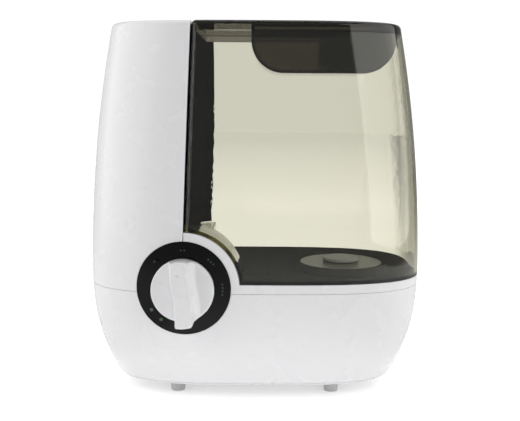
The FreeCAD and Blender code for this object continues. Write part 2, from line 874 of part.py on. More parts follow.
def dial_knob():
    """White knob: a disc with a raised grip bar, drawn on the XZ plane and padded forwards."""
    knob = new_body("knob")
    disc = sketch_on(knob, "XZ_Plane", "knob_disc_outline", "knob_back")
    circle(disc, "0", "0", "knob_radius")
    pad = knob.newObject("PartDesign::Pad", "knob_disc")
    pad.Profile = disc
    bind(pad, Length="knob_thick")
    bar = sketch_on(knob, "XZ_Plane", "knob_bar_outline", "knob_back + 1")
    reach = "knob_radius + grip_overhang"
    half = "grip_width / 2"
    polygon(bar, [("-(%s)" % half, "-(%s)" % reach), (half, "-(%s)" % reach),
                  (half, reach), ("-(%s)" % half, reach)])
    grip = knob.newObject("PartDesign::Pad", "knob_bar")
    grip.Profile = bar
    bind(grip, Length="knob_thick + grip_proud - 1")
    doc.recompute()
    round_edges(knob, grip, "knob_corners", 3.2, lambda box: box.YLength > 12
                and box.XLength < 0.1 and box.ZLength < 0.1)
    front = -(size("knob_back") + size("knob_thick") + size("grip_proud"))
    round_edges(knob, knob.Tip, "knob_face", 2.0, lambda box: abs(box.YMin - front) < 0.01
                and box.YLength < 0.01)
    bore = sketch_on(knob, "XZ_Plane", "knob_bore_outline", "knob_back")
    circle(bore, "0", "0", "shaft_radius + shaft_fit")
    hole = knob.newObject("PartDesign::Pocket", "knob_bore")
    hole.Profile = bore
    hole.Reversed = True
    bind(hole, Length="shaft_front - knob_back + 0.2")
    stand_at(knob, "dial_x", "0", "dial_level")
    keep(knob, "dial_knob")


def round_edges(body, feature, name, radius, wanted):
    """A PartDesign fillet on the edges whose box passes the test."""
    names = ["Edge%d" % (index + 1) for index, edge in enumerate(feature.Shape.Edges)
             if wanted(edge.BoundBox)]
    fillet = body.newObject("PartDesign::Fillet", name)
    fillet.Base = (feature, names)
    fillet.Radius = radius
    doc.recompute()
    return fillet


def drum_body(label, front, rear, rings):
    """Concentric round pads about the dial's axis; each ring is radius and bore or None."""
    body = new_body(label)
    outline_sketch = sketch_on(body, "XZ_Plane", label + "_outline", rear)
    for radius in rings:
        circle(outline_sketch, "0", "0", radius)
    pad = body.newObject("PartDesign::Pad", label + "_pad")
    pad.Profile = outline_sketch
    bind(pad, Length="(%s) - (%s)" % (front, rear))
    stand_at(body, "dial_x", "0", "dial_level")
    return keep(body, label)


def dial_works():
    drum_body("switch_shaft", "shaft_front", "shaft_back", ["shaft_radius"])
    drum_body("rotary_switch", "switch_front", "switch_back",
              ["switch_radius", "shaft_radius + shaft_fit"])
    plate = new_body("switch_bracket")
    outline_sketch = sketch_on(plate, "XZ_Plane", "switch_bracket_outline",
                               "switch_back - bracket_thick")
    half = "bracket_half"
    polygon(outline_sketch, rectangle("-" + half, half, "-bracket_drop", half))
    circle(outline_sketch, "0", "0", "shaft_hole")
    pad = plate.newObject("PartDesign::Pad", "switch_bracket_pad")
    pad.Profile = outline_sketch
    bind(pad, Length="bracket_thick")
    stand_at(plate, "dial_x", "0", "dial_level")
    keep(plate, "switch_bracket")


# ------------------------------------------------------------------ tank

def tank_body():
    low = size("tank_low")
    wall = size("wall")
    high = size("skirt_level")
    floor = size("tank_floor")
    outer = tank_form(0, low, high)
    inner = tank_form(wall, floor, high)
    rear = arch_rear()
    cap_at = V(size("cap_x"), size("cap_y"), 0)
    boss_at = V(size("boss_x"), size("boss_y"), 0)
    shelf = size("shelf_top")
    raised = [
        dial_drum(size("tunnel_radius") + wall, -BIG, rear + 0.7 + wall),
        Part.makeCylinder(size("neck_outer"), size("neck_top"), cap_at),
        Part.makeCylinder(size("boss_radius"), floor + size("boss_high"), boss_at),
        slab(0, shelf, -BIG, size("shelf_right"), rear + 0.7, BIG),
    ]
    hollows = [
        dial_drum(size("tunnel_radius"), -BIG, rear + 0.7),
        Part.makeCylinder(size("neck_inner"), BIG / 2, cap_at),
        Part.makeCylinder(size("magnet_radius") + 0.3, floor + size("boss_high") - 2, boss_at),
        tank_form(wall, low - 1, high).common(
            slab(0, shelf - wall, -BIG, size("shelf_right") - wall, rear + 0.7 + wall, BIG)),
    ]
    return shaped("tank_body", outer.cut(inner.cut(raised)).cut(hollows))


def tank_magnet():
    disc = rod("magnet", "boss_x", "boss_y", "tank_low + 0.6",
               "tank_low + 0.6 + magnet_thick", "magnet_radius")
    keep(disc, "tank_magnet")


def pocket_form(inset, top):
    """The hand pocket's D-shaped form, drawn from the front and run along Y."""
    left = size("pocket_left") + inset
    right = size("pocket_right") - inset
    low = size("pocket_floor") + inset
    curve = size("pocket_round") - inset
    lean = curve * math.sin(math.radians(45))
    centre_left = V(left + curve, 0, low + curve)
    centre_right = V(right - curve, 0, low + curve)
    edges = [
        Part.makeLine(V(left, 0, top), V(left, 0, low + curve)),
        Part.Arc(V(left, 0, low + curve), centre_left + V(-lean, 0, -lean),
                 V(left + curve, 0, low)).toShape(),
        Part.makeLine(V(left + curve, 0, low), V(right - curve, 0, low)),
        Part.Arc(V(right - curve, 0, low), centre_right + V(lean, 0, -lean),
                 V(right, 0, low + curve)).toShape(),
        Part.makeLine(V(right, 0, low + curve), V(right, 0, top)),
        Part.makeLine(V(right, 0, top), V(left, 0, top)),
    ]
    face = Part.Face(Part.Wire(edges))
    front = size("pocket_front") + inset
    rear = size("pocket_rear") - inset
    face.translate(V(0, front, 0))
    return face.extrude(V(0, rear - front, 0))


def tank_top():
    """Dark lid welded to the tank: plate, skirt and the hand pocket that hangs from it."""
    low = size("skirt_level")
    wall = size("wall")
    top = size("top_level")
    outer = tank_form(0, low, top)
    inner = tank_form(wall, low - 1, top - wall)
    cup = pocket_form(0, top - 1)
    space = pocket_form(wall, top + 5)
    return shaped("tank_top", outer.cut(inner).fuse(cup).cut(space))


def tank_handle():
    """Grip bar across the pocket, with a web down to the pocket's floor."""
    wall = size("wall")
    left = size("pocket_left") + wall
    right = size("pocket_right") - wall
    middle = (left + right) / 2
    front = size("bar_front")
    rear = size("bar_rear")
    bar = slab(size("bar_low"), size("bar_top"), left, right, front, rear)
    bar = bar.makeFillet(2.6, [edge for edge in bar.Edges if edge.BoundBox.XLength > 50])
    half = size("web_thick") / 2
    web = slab(size("pocket_floor") + wall, size("bar_low") + 1, middle - half, middle + half,
               front + 3, rear - 3)
    return shaped("tank_handle", bar.fuse(web))


def grip_insert():
    """Dark liner in the right half of the hand pocket."""
    wall = size("wall")
    middle = (size("pocket_left") + size("pocket_right")) / 2
    top = size("bar_low") - 1
    outer = pocket_form(wall + 0.1, top)
    inner = pocket_form(wall + 1.6, top + 1)
    half = slab(0, BIG, middle + size("web_thick") / 2 + 0.2, BIG)
    return shaped("grip_insert", outer.cut(inner).common(half))


# ------------------------------------------------------------------ cap and valve

def tank_cap():
    wall = "thin_wall"
    turned("tank_cap", [
        ("stem_radius + shaft_fit", "hub_low"), ("hub_radius", "hub_low"),
        ("hub_radius", "cap_under_disc"), ("cap_radius - " + wall, "cap_under_disc"),
        ("cap_radius - " + wall, "cap_flange_low"), ("cap_flange", "cap_flange_low"),
        ("cap_flange", "cap_flange_top"), ("cap_radius", "cap_flange_top"),
        ("cap_radius", "cap_top"), ("stem_radius + shaft_fit", "cap_top")])
    cap = doc.getObject("tank_cap")
    grip = sketch_on(cap, "XY_Plane", "tank_cap_grip_outline", "cap_grip_low")
    half = "cap_grip_wide / 2"
    for side in ("", "-"):
        near = "%s(hub_radius - 1)" % side
        far = "%s(cap_radius - thin_wall + 0.5)" % side
        polygon(grip, rectangle(near, far, "-" + half, half))
    bar = cap.newObject("PartDesign::Pad", "tank_cap_grip")
    bar.Profile = grip
    bind(bar, Length="cap_under_disc - cap_grip_low + 0.5")
    drains = sketch_on(cap, "XY_Plane", "tank_cap_drain_outline", "cap_flange_low - 1")
    for number in range(4):
        angle = math.radians(45 + 90 * number)
        circle(drains, "drain_ring * %.6f" % math.cos(angle),
               "drain_ring * %.6f" % math.sin(angle), "drain_radius")
    holes = cap.newObject("PartDesign::Pocket", "tank_cap_drains")
    holes.Profile = drains
    holes.Reversed = True
    bind(holes, Length="cap_top - cap_flange_low + 2")
    stand_at(cap, "cap_x", "cap_y")


def cap_gasket():
    turned("cap_gasket", [("gasket_inner", "cap_flange_top"), ("cap_flange", "cap_flange_top"),
                          ("cap_flange", "gasket_top"), ("gasket_inner", "gasket_top")])
    stand_at(doc.getObject("cap_gasket"), "cap_x", "cap_y")


def valve():
    turned("valve_stem", [
        ("0", "stem_foot_low"), ("stem_foot_radius", "stem_foot_low"),
        ("stem_foot_radius", "stem_foot_top"), ("stem_radius", "stem_foot_top"),
        ("stem_radius", "valve_disc_low"), ("valve_disc_radius", "valve_disc_low"),
        ("valve_disc_radius", "valve_disc_top"), ("0", "valve_disc_top")])
    stand_at(doc.getObject("valve_stem"), "cap_x", "cap_y")
    turned("valve_seal", [("stem_radius", "seal_low"), ("valve_disc_radius - 0.5", "seal_low"),
                          ("valve_disc_radius - 0.5", "valve_disc_low"),
                          ("stem_radius", "valve_disc_low")])
    stand_at(doc.getObject("valve_seal"), "cap_x", "cap_y")
    wire_radius = size("spring_wire")
    low = size("stem_foot_top") + wire_radius + 0.05
    high = size("hub_low") - wire_radius - 0.05
    pitch = (high - low) / size("spring_turns")
    helix = Part.makeHelix(pitch, high - low, size("spring_radius"))
    profile = Part.Wire(Part.makeCircle(wire_radius, V(size("spring_radius"), 0, 0), REAR))
    coil = Part.Wire(helix).makePipeShell([profile], True, True)
    coil.translate(V(size("cap_x"), size("cap_y"), low))
    shaped("valve_spring", coil)


def level_float():
    turned("float", [("float_bore", "float_low"), ("float_radius", "float_low"),
                     ("float_radius", "float_top"), ("float_bore", "float_top")])
    stand_at(doc.getObject("float"), "float_x", "float_y")
    turned("float_magnet", [("float_bore + 1", "float_top"), ("float_bore + 4", "float_top"),
                            ("float_bore + 4", "float_top + 2"), ("float_bore + 1", "float_top + 2")])
    stand_at(doc.getObject("float_magnet"), "float_x", "float_y")
    switch = box_between("reed_switch_block", "float_x - 9", "float_x + 9", "float_y - 3",
                         "float_y + 3", "trough_floor - thin_wall - 5", "trough_floor - thin_wall")
    keep(switch, "reed_switch")


# ------------------------------------------------------------------ sound head and boards

def sound_head():
    turned("transducer_seal", [("sound_hole", "ring_seal_low"), ("ring_seal_outer", "ring_seal_low"),
                               ("ring_seal_outer", "chamber_under"), ("sound_hole", "chamber_under")])
    turned("transducer_disc", [("0", "ring_seal_low - disc_thick"),
                               ("disc_radius", "ring_seal_low - disc_thick"),
                               ("disc_radius", "ring_seal_low"), ("0", "ring_seal_low")])
    turned("transducer_retainer", [
        ("0", "retainer_low"), ("retainer_radius", "retainer_low"),
        ("retainer_radius", "chamber_under"), ("ring_seal_outer + 0.1", "chamber_under"),
        ("ring_seal_outer + 0.1", "ring_seal_low - disc_thick"),
        ("0", "ring_seal_low - disc_thick")])
    for name in ("transducer_seal", "transducer_disc", "transducer_retainer"):
        stand_at(doc.getObject(name), "chimney_x")
    half = "sink_half"
    plate = box_between("sink_plate", "chimney_x - sink_half", "chimney_x + sink_half",
                        "-" + half, half, "sink_plate_low", "retainer_low")
    pieces = [plate]
    count = int(size("fin_count"))
    for number in range(count):
        start = "chimney_x - sink_half + %d * (2 * sink_half - 1.4) / %d" % (number, count - 1)
        pieces.append(box_between("sink_fin_%d" % number, start, start + " + 1.4",
                                  "-" + half, half, "sink_low", "sink_plate_low + 0.5"))
    keep(joined("sink", pieces), "heat_sink")


def boards():
    """Driver and power boards with a transformer and five wire sockets."""
    holes = [(str(x), str(y), "board_hole") for x, y in board_posts()]
    for name, own_holes in (("driver", holes[:4]), ("power", holes[4:])):
        plate_with_holes(name + "_board", "board_low", "board_thick",
                         rectangle(name + "_left", name + "_right", "-board_half", "board_half"),
                         own_holes)
    face = "board_low + board_thick"
    block = box_between("transformer_core", "core_left", "core_right", "-core_half", "core_half",
                        face, face + " + core_high")
    winding = box_between("transformer_coil", "core_left + coil_inset", "core_right - coil_inset",
                          "-coil_half", "coil_half", face + " + coil_inset",
                          face + " + core_high - coil_inset")
    keep(joined("transformer_block", [block, winding]), "transformer")
    rows = [("driver_right - 2 * socket_long", number - 5 / 3) for number in range(3)]
    rows += [("power_left + socket_long / 2", number - 5 / 6) for number in range(2)]
    sockets = []
    for number, (left, place) in enumerate(rows):
        front = "%f * socket_pitch" % place
        sockets.append(box_between("socket_%d" % number, left, left + " + socket_long", front,
                                   front + " + socket_wide", face, face + " + socket_high"))
    keep(grouped("sockets", sockets), "wire_sockets")


def cord_gland():
    """Rubber bush in the rear wall where a supply lead comes out."""
    middle = V(size("gland_x"), 0, size("gland_level"))
    bush = Part.makeCylinder(size("gland_radius") - 0.1, BIG, middle, REAR)
    flange = Part.makeCylinder(size("gland_flange"), BIG, middle, REAR)
    bore = Part.makeCylinder(size("gland_bore"), BIG, middle, REAR)
    proud = sharp_hull(-size("gland_proud"))
    body = bush.common(proud).cut(sharp_hull(size("wall") + 2))
    collar = flange.common(proud).cut(sharp_hull(0))
    return shaped("cord_gland", body.fuse(collar).cut(bore))


# ------------------------------------------------------------------ assembly

def placing():
    """Move every part back, so that the box around the whole object is centred."""
    for part in parts:
        base = part.Placement.Base
        linked = dict(part.ExpressionEngine).get("Placement.Base.y") \
            or dict(part.ExpressionEngine).get(".Placement.Base.y")
        if linked:
            part.setExpression("Placement.Base.y", "(%s) + Sheet.housing_back" % linked)
        else:
            part.setExpression("Placement.Base.y", "%f + Sheet.housing_back" % base.y)


def check():
    for item in doc.Objects:
        if "Invalid" in item.State or "Error" in item.State:
            raise RuntimeError("%s failed: %s" % (item.Name, item.State))
    for part in parts:
        if part.Shape.isNull() or not part.Shape.isValid():
            raise RuntimeError("%s has no valid shape" % part.Label)


base_shell()
bottom_plate()
rubber_feet()
base_screws()
deck_ring()
basin_tray()
column_cover()
column_side()
chamber_lid()
mist_duct()
mist_outlet()
air_duct()
fan()
dial_bezel()
indicator_lenses()
dial_knob()
dial_works()
tank_body()
tank_magnet()
tank_top()
tank_handle()
grip_insert()
tank_cap()
cap_gasket()
valve()
level_float()
sound_head()
boards()
cord_gland()
placing()
doc.recompute()
check()

os.makedirs("parts", exist_ok=True)
for part in parts:
    part.Shape.exportStep("parts/%s.step" % part.Label)
    box = part.Shape.BoundBox
    print("%-20s %3d solids  volume %9.1f  x %.1f..%.1f  y %.1f..%.1f  z %.1f..%.1f" % (
        part.Label, len(part.Shape.Solids), part.Shape.Volume, box.XMin, box.XMax,
        box.YMin, box.YMax, box.ZMin, box.ZMax))
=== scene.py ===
"""A cool mist humidifier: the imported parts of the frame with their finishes, the pieces that are shaped
here, a pale floor, soft studio light and the camera. Lengths are in metres unless a name says otherwise."""
import math
import bpy
import bmesh
from mathutils import Matrix, Vector


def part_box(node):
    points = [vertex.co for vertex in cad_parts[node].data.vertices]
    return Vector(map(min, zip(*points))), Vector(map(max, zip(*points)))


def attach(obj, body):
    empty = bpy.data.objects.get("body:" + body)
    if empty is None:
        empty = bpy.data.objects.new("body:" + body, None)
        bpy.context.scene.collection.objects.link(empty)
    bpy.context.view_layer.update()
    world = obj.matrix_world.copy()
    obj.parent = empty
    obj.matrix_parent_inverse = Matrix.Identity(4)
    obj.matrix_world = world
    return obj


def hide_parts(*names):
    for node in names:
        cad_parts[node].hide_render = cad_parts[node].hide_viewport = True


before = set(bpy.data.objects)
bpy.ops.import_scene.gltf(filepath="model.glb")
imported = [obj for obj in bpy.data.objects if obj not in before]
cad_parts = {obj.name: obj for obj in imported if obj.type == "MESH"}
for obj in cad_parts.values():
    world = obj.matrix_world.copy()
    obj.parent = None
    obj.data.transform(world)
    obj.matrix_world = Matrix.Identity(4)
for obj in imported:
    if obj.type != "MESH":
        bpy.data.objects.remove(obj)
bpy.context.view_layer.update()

MM = 0.001


# ---------------------------------------------------------------- node helpers

def fresh_nodes(name):
    """A new material with an empty node tree, its output node and its Principled shader."""
    material = bpy.data.materials.new(name)
    material.use_nodes = True
    tree = material.node_tree
    tree.nodes.clear()
    output = tree.nodes.new("ShaderNodeOutputMaterial")
    shader = tree.nodes.new("ShaderNodeBsdfPrincipled")
    tree.links.new(shader.outputs["BSDF"], output.inputs["Surface"])
    return material, tree, shader, output


def noise(tree, grain, detail=2.0, stretch=(1, 1, 1)):
    """Noise whose blotches are about `grain` metres across, in the object's own space."""
    place = tree.nodes.new("ShaderNodeTexCoord")
    scale = tree.nodes.new("ShaderNodeMapping")
    scale.inputs["Scale"].default_value = stretch
    texture = tree.nodes.new("ShaderNodeTexNoise")
    texture.inputs["Scale"].default_value = 1 / grain
    texture.inputs["Detail"].default_value = detail
    tree.links.new(place.outputs["Object"], scale.inputs["Vector"])
    tree.links.new(scale.outputs["Vector"], texture.inputs["Vector"])
    return texture.outputs["Fac"]


def ramp(tree, source, low, high):
    """source, which stays between 0.3 and 0.7, spread over low to high."""
    spread = tree.nodes.new("ShaderNodeMapRange")
    spread.inputs["From Min"].default_value = 0.3
    spread.inputs["From Max"].default_value = 0.7
    spread.inputs["To Min"].default_value = low
    spread.inputs["To Max"].default_value = high
    tree.links.new(source, spread.inputs["Value"])
    return spread.outputs["Result"]


def tint(tree, source, colour, change):
    """colour, a little darker and lighter by `change` as source varies."""
    mix = tree.nodes.new("ShaderNodeMix")
    mix.data_type = "RGBA"
    mix.inputs["A"].default_value = (*(c * (1 - change) for c in colour), 1)
    mix.inputs["B"].default_value = (*(min(1, c * (1 + change)) for c in colour), 1)
    tree.links.new(ramp(tree, source, 0, 1), mix.inputs["Factor"])
    return mix.outputs["Result"]


def bump(tree, shader, source, height, strength=1.0):
    """Raises the surface by up to `height` metres where source is high."""
    relief = tree.nodes.new("ShaderNodeBump")
    relief.inputs["Distance"].default_value = height
    relief.inputs["Strength"].default_value = strength
    tree.links.new(source, relief.inputs["Height"])
    tree.links.new(relief.outputs["Normal"], shader.inputs["Normal"])


# ---------------------------------------------------------------- finishes

def plastic(name, colour, gloss, grain=0.6 * MM, depth=0.004 * MM, change=0.02, shine=0.5):
    """Moulded plastic: faint shade and gloss changes over the part, and a fine mould grain."""
    material, tree, shader, _ = fresh_nodes(name)
    broad = noise(tree, 28 * MM)
    fine = noise(tree, grain, detail=3.0)
    tree.links.new(tint(tree, broad, colour, change), shader.inputs["Base Color"])
    tree.links.new(ramp(tree, broad, gloss * 0.96, gloss * 1.04), shader.inputs["Roughness"])
    shader.inputs["Specular IOR Level"].default_value = shine
    bump(tree, shader, fine, depth)
    return material


def metal(name, colour, gloss, stretch=(1, 1, 12), depth=0.006 * MM, change=0.08):
    """Metal with drawn or turned lines along one direction and a little dulling."""
    material, tree, shader, _ = fresh_nodes(name)
    lines = noise(tree, 1.2 * MM, detail=4.0, stretch=stretch)
    dull = noise(tree, 9 * MM)
    shader.inputs["Metallic"].default_value = 1.0
    tree.links.new(tint(tree, dull, colour, change), shader.inputs["Base Color"])
    tree.links.new(ramp(tree, lines, gloss * 0.7, gloss * 1.3), shader.inputs["Roughness"])
    bump(tree, shader, lines, depth)
    return material


def smoked(name, density, passed, ior=1.49, gloss=0.0):
    """Clear plastic that takes up light along its thickness: `passed` is what stays of each colour."""
    material, tree, shader, output = fresh_nodes(name)
    shader.inputs["Base Color"].default_value = (1, 1, 1, 1)
    shader.inputs["Transmission Weight"].default_value = 1.0
    shader.inputs["Roughness"].default_value = gloss
    shader.inputs["IOR"].default_value = ior
    smoke = tree.nodes.new("ShaderNodeVolumeAbsorption")
    smoke.inputs["Density"].default_value = density
    smoke.inputs["Color"].default_value = (*passed, 1)
    tree.links.new(smoke.outputs["Volume"], output.inputs["Volume"])
    return material


def circuit_board(name):
    """Green solder mask over a pattern of copper runs."""
    material, tree, shader, _ = fresh_nodes(name)
    runs = tree.nodes.new("ShaderNodeTexBrick")
    place = tree.nodes.new("ShaderNodeTexCoord")
    runs.inputs["Scale"].default_value = 220
    runs.inputs["Mortar Size"].default_value = 0.03
    runs.inputs["Color1"].default_value = (0.03, 0.16, 0.07, 1)
    runs.inputs["Color2"].default_value = (0.035, 0.2, 0.085, 1)
    runs.inputs["Mortar"].default_value = (0.09, 0.32, 0.14, 1)
    tree.links.new(place.outputs["Object"], runs.inputs["Vector"])
    tree.links.new(runs.outputs["Color"], shader.inputs["Base Color"])
    shader.inputs["Roughness"].default_value = 0.35
    bump(tree, shader, runs.outputs["Fac"], -0.02 * MM)
    return material


FINISHES = {
    "white_plastic": plastic("white_plastic", (0.80, 0.80, 0.81), 0.27, depth=0.002 * MM, change=0.004),
    "charcoal_plastic": plastic("charcoal_plastic", (0.030, 0.029, 0.024), 0.38, depth=0.01 * MM),
    "grey_plastic": plastic("grey_plastic", (0.5, 0.51, 0.51), 0.42, depth=0.01 * MM),
    "black_plastic": plastic("black_plastic", (0.02, 0.02, 0.02), 0.45, depth=0.012 * MM),
    "black_gloss": plastic("black_gloss", (0.002, 0.002, 0.002), 0.16, depth=0.002 * MM, shine=0.2),
    "olive_plastic": plastic("olive_plastic", (0.20, 0.20, 0.14), 0.3, depth=0.006 * MM),
    "smoke_clear": smoked("smoke_clear", 171.0, (0.637, 0.62, 0.39)),
    "smoke_dark": smoked("smoke_dark", 960.0, (0.30, 0.27, 0.17)),
    "foot_rubber": plastic("foot_rubber", (0.52, 0.52, 0.52), 0.55, depth=0.02 * MM),
    "seal_rubber": plastic("seal_rubber", (0.06, 0.06, 0.06), 0.6, depth=0.02 * MM),
    "screw_steel": metal("screw_steel", (0.62, 0.62, 0.62), 0.3),
    "spring_steel": metal("spring_steel", (0.66, 0.66, 0.66), 0.25),
    "motor_steel": metal("motor_steel", (0.46, 0.46, 0.48), 0.38),
    "brass_ring": metal("brass_ring", (0.72, 0.53, 0.24), 0.28),
    "sink_aluminium": metal("sink_aluminium", (0.74, 0.74, 0.76), 0.34),
    "lamp_lens": plastic("lamp_lens", (0.05, 0.09, 0.05), 0.1, depth=0.001 * MM),
    "board_green": circuit_board("board_green"),
}
TANK_DARK = plastic("tank_dark_plastic", (0.034, 0.033, 0.026), 0.4, depth=0.006 * MM, shine=0.0)
# black for the sheet of painted shade inside the tank beside the column
SHADE_SHEET_BLACK = plastic("shade_sheet_black", (0.006, 0.006, 0.005), 0.6, depth=0.006 * MM, shine=0.0)
MARK_PAINT = plastic("mark_paint", (0.016, 0.030, 0.028), 0.4, depth=0.003 * MM)


def finish_nodes():
    """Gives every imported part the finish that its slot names."""
    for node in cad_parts.values():
        for index, old in enumerate(node.data.materials):
            node.data.materials[index] = FINISHES[old.name.split(".")[0]]


FLOOR_ZONE = 14 * MM    # the tank's floor and what stands on it, above its lowest edge
NECK_REACH = 47 * MM
BOSS_REACH = 18 * MM
FLAT = 0.9              # a face this level counts as floor


def darken_tank_floor():
    """The tank's floor, cap neck and magnet boss are dark plastic under clear walls."""
    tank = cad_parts["tank_body"]
    low = Vector(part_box("tank_body")[0])
    raised = [(middle_of("tank_cap"), NECK_REACH), (middle_of("tank_magnet"), BOSS_REACH)]
    tank.data.materials.append(TANK_DARK)
    dark = len(tank.data.materials) - 1
    for face in tank.data.polygons:
        at = face.center
        flat = abs(face.normal.z) > FLAT
        near = any(math.hypot(at.x - spot.x, at.y - spot.y) < reach for spot, reach in raised)
        if at.z < low.z + FLOOR_ZONE and (flat or near):
            face.material_index = dark


# ---------------------------------------------------------------- the pieces shaped here

SHADE_SHEET_LOW = 28 * MM     # the black sheet of painted shade starts on the raised shelf
SHADE_SHEET_REACH = 17.4 * MM # and ends past the rounded corner
SHADE_SHEET_TURN = 0.1        # faces turned at least this much away from the column
SHADE_SHEET_LEVEL = 0.6       # and no more level than this
SHADE_SHEET_GAP = 0.25 * MM
SHADE_SHEET_THICK = 0.5 * MM


def middle_of(name):
    low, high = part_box(name)
    return (Vector(low) + Vector(high)) / 2


def smooth(value):
    """0 to 1 with a soft start and end."""
    value = min(1, max(0, value))
    return value * value * (3 - 2 * value)


def solid_of(name, points, faces, material):
    """A smooth-shaded object from points and faces."""
    mesh = bpy.data.meshes.new(name)
    mesh.from_pydata(points, [], faces)
    mesh.materials.append(material)
    mesh.shade_smooth()
    mesh.update()
    piece = bpy.data.objects.new(name, mesh)
    bpy.context.scene.collection.objects.link(piece)
    return piece


def painted_shade_sheet():
    """A black sheet of painted shade on the tank's inner face next to the column and round the corner behind
    it.
    """
    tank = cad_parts["tank_body"]
    low, high = (Vector(c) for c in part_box("tank_body"))
    form = bmesh.new()
    form.from_mesh(tank.data)
    for spot, outward in ((Vector((low.x + SHADE_SHEET_REACH, 0, 0)), Vector((1, 0, 0))),
                          (Vector((0, 0, low.z + SHADE_SHEET_LOW)), Vector((0, 0, -1)))):
        everything = form.verts[:] + form.edges[:] + form.faces[:]
        bmesh.ops.bisect_plane(form, geom=everything, plane_co=spot, plane_no=outward, clear_outer=True)
    waste = [face for face in form.faces if face.normal.x < SHADE_SHEET_TURN or abs(face.normal.z) > SHADE_SHEET_LEVEL]
    bmesh.ops.delete(form, geom=waste, context="FACES")
    bmesh.ops.remove_doubles(form, verts=form.verts[:], dist=0.01 * MM)
    form.normal_update()
    for vertex in form.verts:
        vertex.co += vertex.normal * (SHADE_SHEET_GAP + SHADE_SHEET_THICK)
    mesh = bpy.data.meshes.new("tank_side_shade_sheet")
    form.to_mesh(mesh)
    form.free()
    mesh.materials.clear()
    # black sheet: painted shade for the narrow gap between the tank wall and the column
    mesh.materials.append(SHADE_SHEET_BLACK)
    mesh.shade_smooth()
    shade_sheet = bpy.data.objects.new("tank_side_shade_sheet", mesh)
    bpy.context.scene.collection.objects.link(shade_sheet)
    skin = shade_sheet.modifiers.new("thickness", "SOLIDIFY")
    skin.thickness = SHADE_SHEET_THICK
    skin.offset = -1
    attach(shade_sheet, "tank")


KNOB_FACE = 5.6         # height of the knob's disc above its back, in mm like the rest of the knob
KNOB_EDGE = 1.0
BAR_HALF = 6.1
BAR_LEFT_FLANK = 2.0
BAR_SCOOP = 7.6         # the right flank is a wide concave scoop
KNOB_RINGS = 90
KNOB_SPOKES = 200


BAR_SHIFT = -0.2        # the bar's line: where its bend is centred, how far it swings, how slowly
BAR_SWING = 1.9
BAR_BEND_AT = 1
BAR_BEND = 8
SCOOP_POWER = 2.2
DIMPLE = ((-2.4, 16), 2.4, 2.4, 0.8)    # place, half width, half height, depth
HOLLOW = ((-0.2, 1.3), 3.4, 6.0, 0.5)


def bar_centre(z):
    """The bar bends in a slow S from top to bottom."""
    return BAR_SHIFT - BAR_SWING * math.tanh((z - BAR_BEND_AT) / BAR_BEND)


def bar_rise(x, z):
    """0 on the disc to 1 on the bar's face."""
    off = x - bar_centre(z)
    if off < 0:
        return smooth(1 - (-off - BAR_HALF) / BAR_LEFT_FLANK)
    return min(1, max(0, 1 - (off - BAR_HALF) / BAR_SCOOP)) ** SCOOP_POWER


def hollow(x, z, at, wide, high, deep):
    """A shallow oval dish pressed into the face."""
    return deep * smooth(1 - math.hypot((x - at[0]) / wide, (z - at[1]) / high))


def turning_knob():
    """The dial's knob: a disc crossed by a bent grip bar that reaches past the rim at its foot."""
    low, high = (Vector(c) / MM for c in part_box("dial_knob"))
    middle = (low + high) / 2
    radius = (high.x - low.x) / 2
    foot = (high.z - low.z) / 2
    depth = high.y - low.y
    foot_x = bar_centre(-foot)

    def rim(angle):
        side = abs(radius * math.sin(angle) - foot_x)
        below = math.cos(angle) < 0
        return radius + (foot - radius) * (smooth(1 - (side - BAR_HALF) / BAR_LEFT_FLANK) if below else 0)

    def point(angle, out, height):
        x = out * math.sin(angle)
        z = out * math.cos(angle)
        return ((middle.x + x) * MM, (high.y - height) * MM, (middle.z + z) * MM)

    def face_height(angle, out, edge):
        x = out * math.sin(angle)
        z = out * math.cos(angle)
        height = KNOB_FACE + (depth - KNOB_FACE) * bar_rise(x, z)
        height -= hollow(x, z, *DIMPLE) + hollow(x, z, *HOLLOW)
        near = min(1, max(0, 1 - (edge - out) / KNOB_EDGE))
        return height - KNOB_EDGE * (1 - math.sqrt(1 - near * near))

    spokes = [2 * math.pi * i / KNOB_SPOKES for i in range(KNOB_SPOKES)]
    points = [point(0, 0, face_height(0, 0, radius))]
    for ring in range(1, KNOB_RINGS + 1):
        share = ring / KNOB_RINGS
        points += [point(a, rim(a) * share, face_height(a, rim(a) * share, rim(a))) for a in spokes]
    points += [point(a, rim(a), 0) for a in spokes]
    points.append(point(0, 0, 0))
    faces = []
    for i in range(KNOB_SPOKES):
        j = (i + 1) % KNOB_SPOKES
        faces.append((0, 1 + i, 1 + j))
        for ring in range(KNOB_RINGS):
            a = 1 + ring * KNOB_SPOKES
            b = a + KNOB_SPOKES
            faces.append((a + i, b + i, b + j, a + j))
        last = 1 + KNOB_RINGS * KNOB_SPOKES
        faces.append((last + i, len(points) - 1, last + j))
    knob = solid_of("turning_knob", points, faces, FINISHES["white_plastic"])
    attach(knob, "dial")
    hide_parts("dial_knob")


MARK_BEARINGS = (-45, 0, 45, 90)
MARK_RADIUS = 32 * MM
DOT_RADIUS = 0.9 * MM
DOT_STEP = 5            # degrees between the dots of one mark
DOT_PROUD = 0.15 * MM
DOT_SIDES = 20


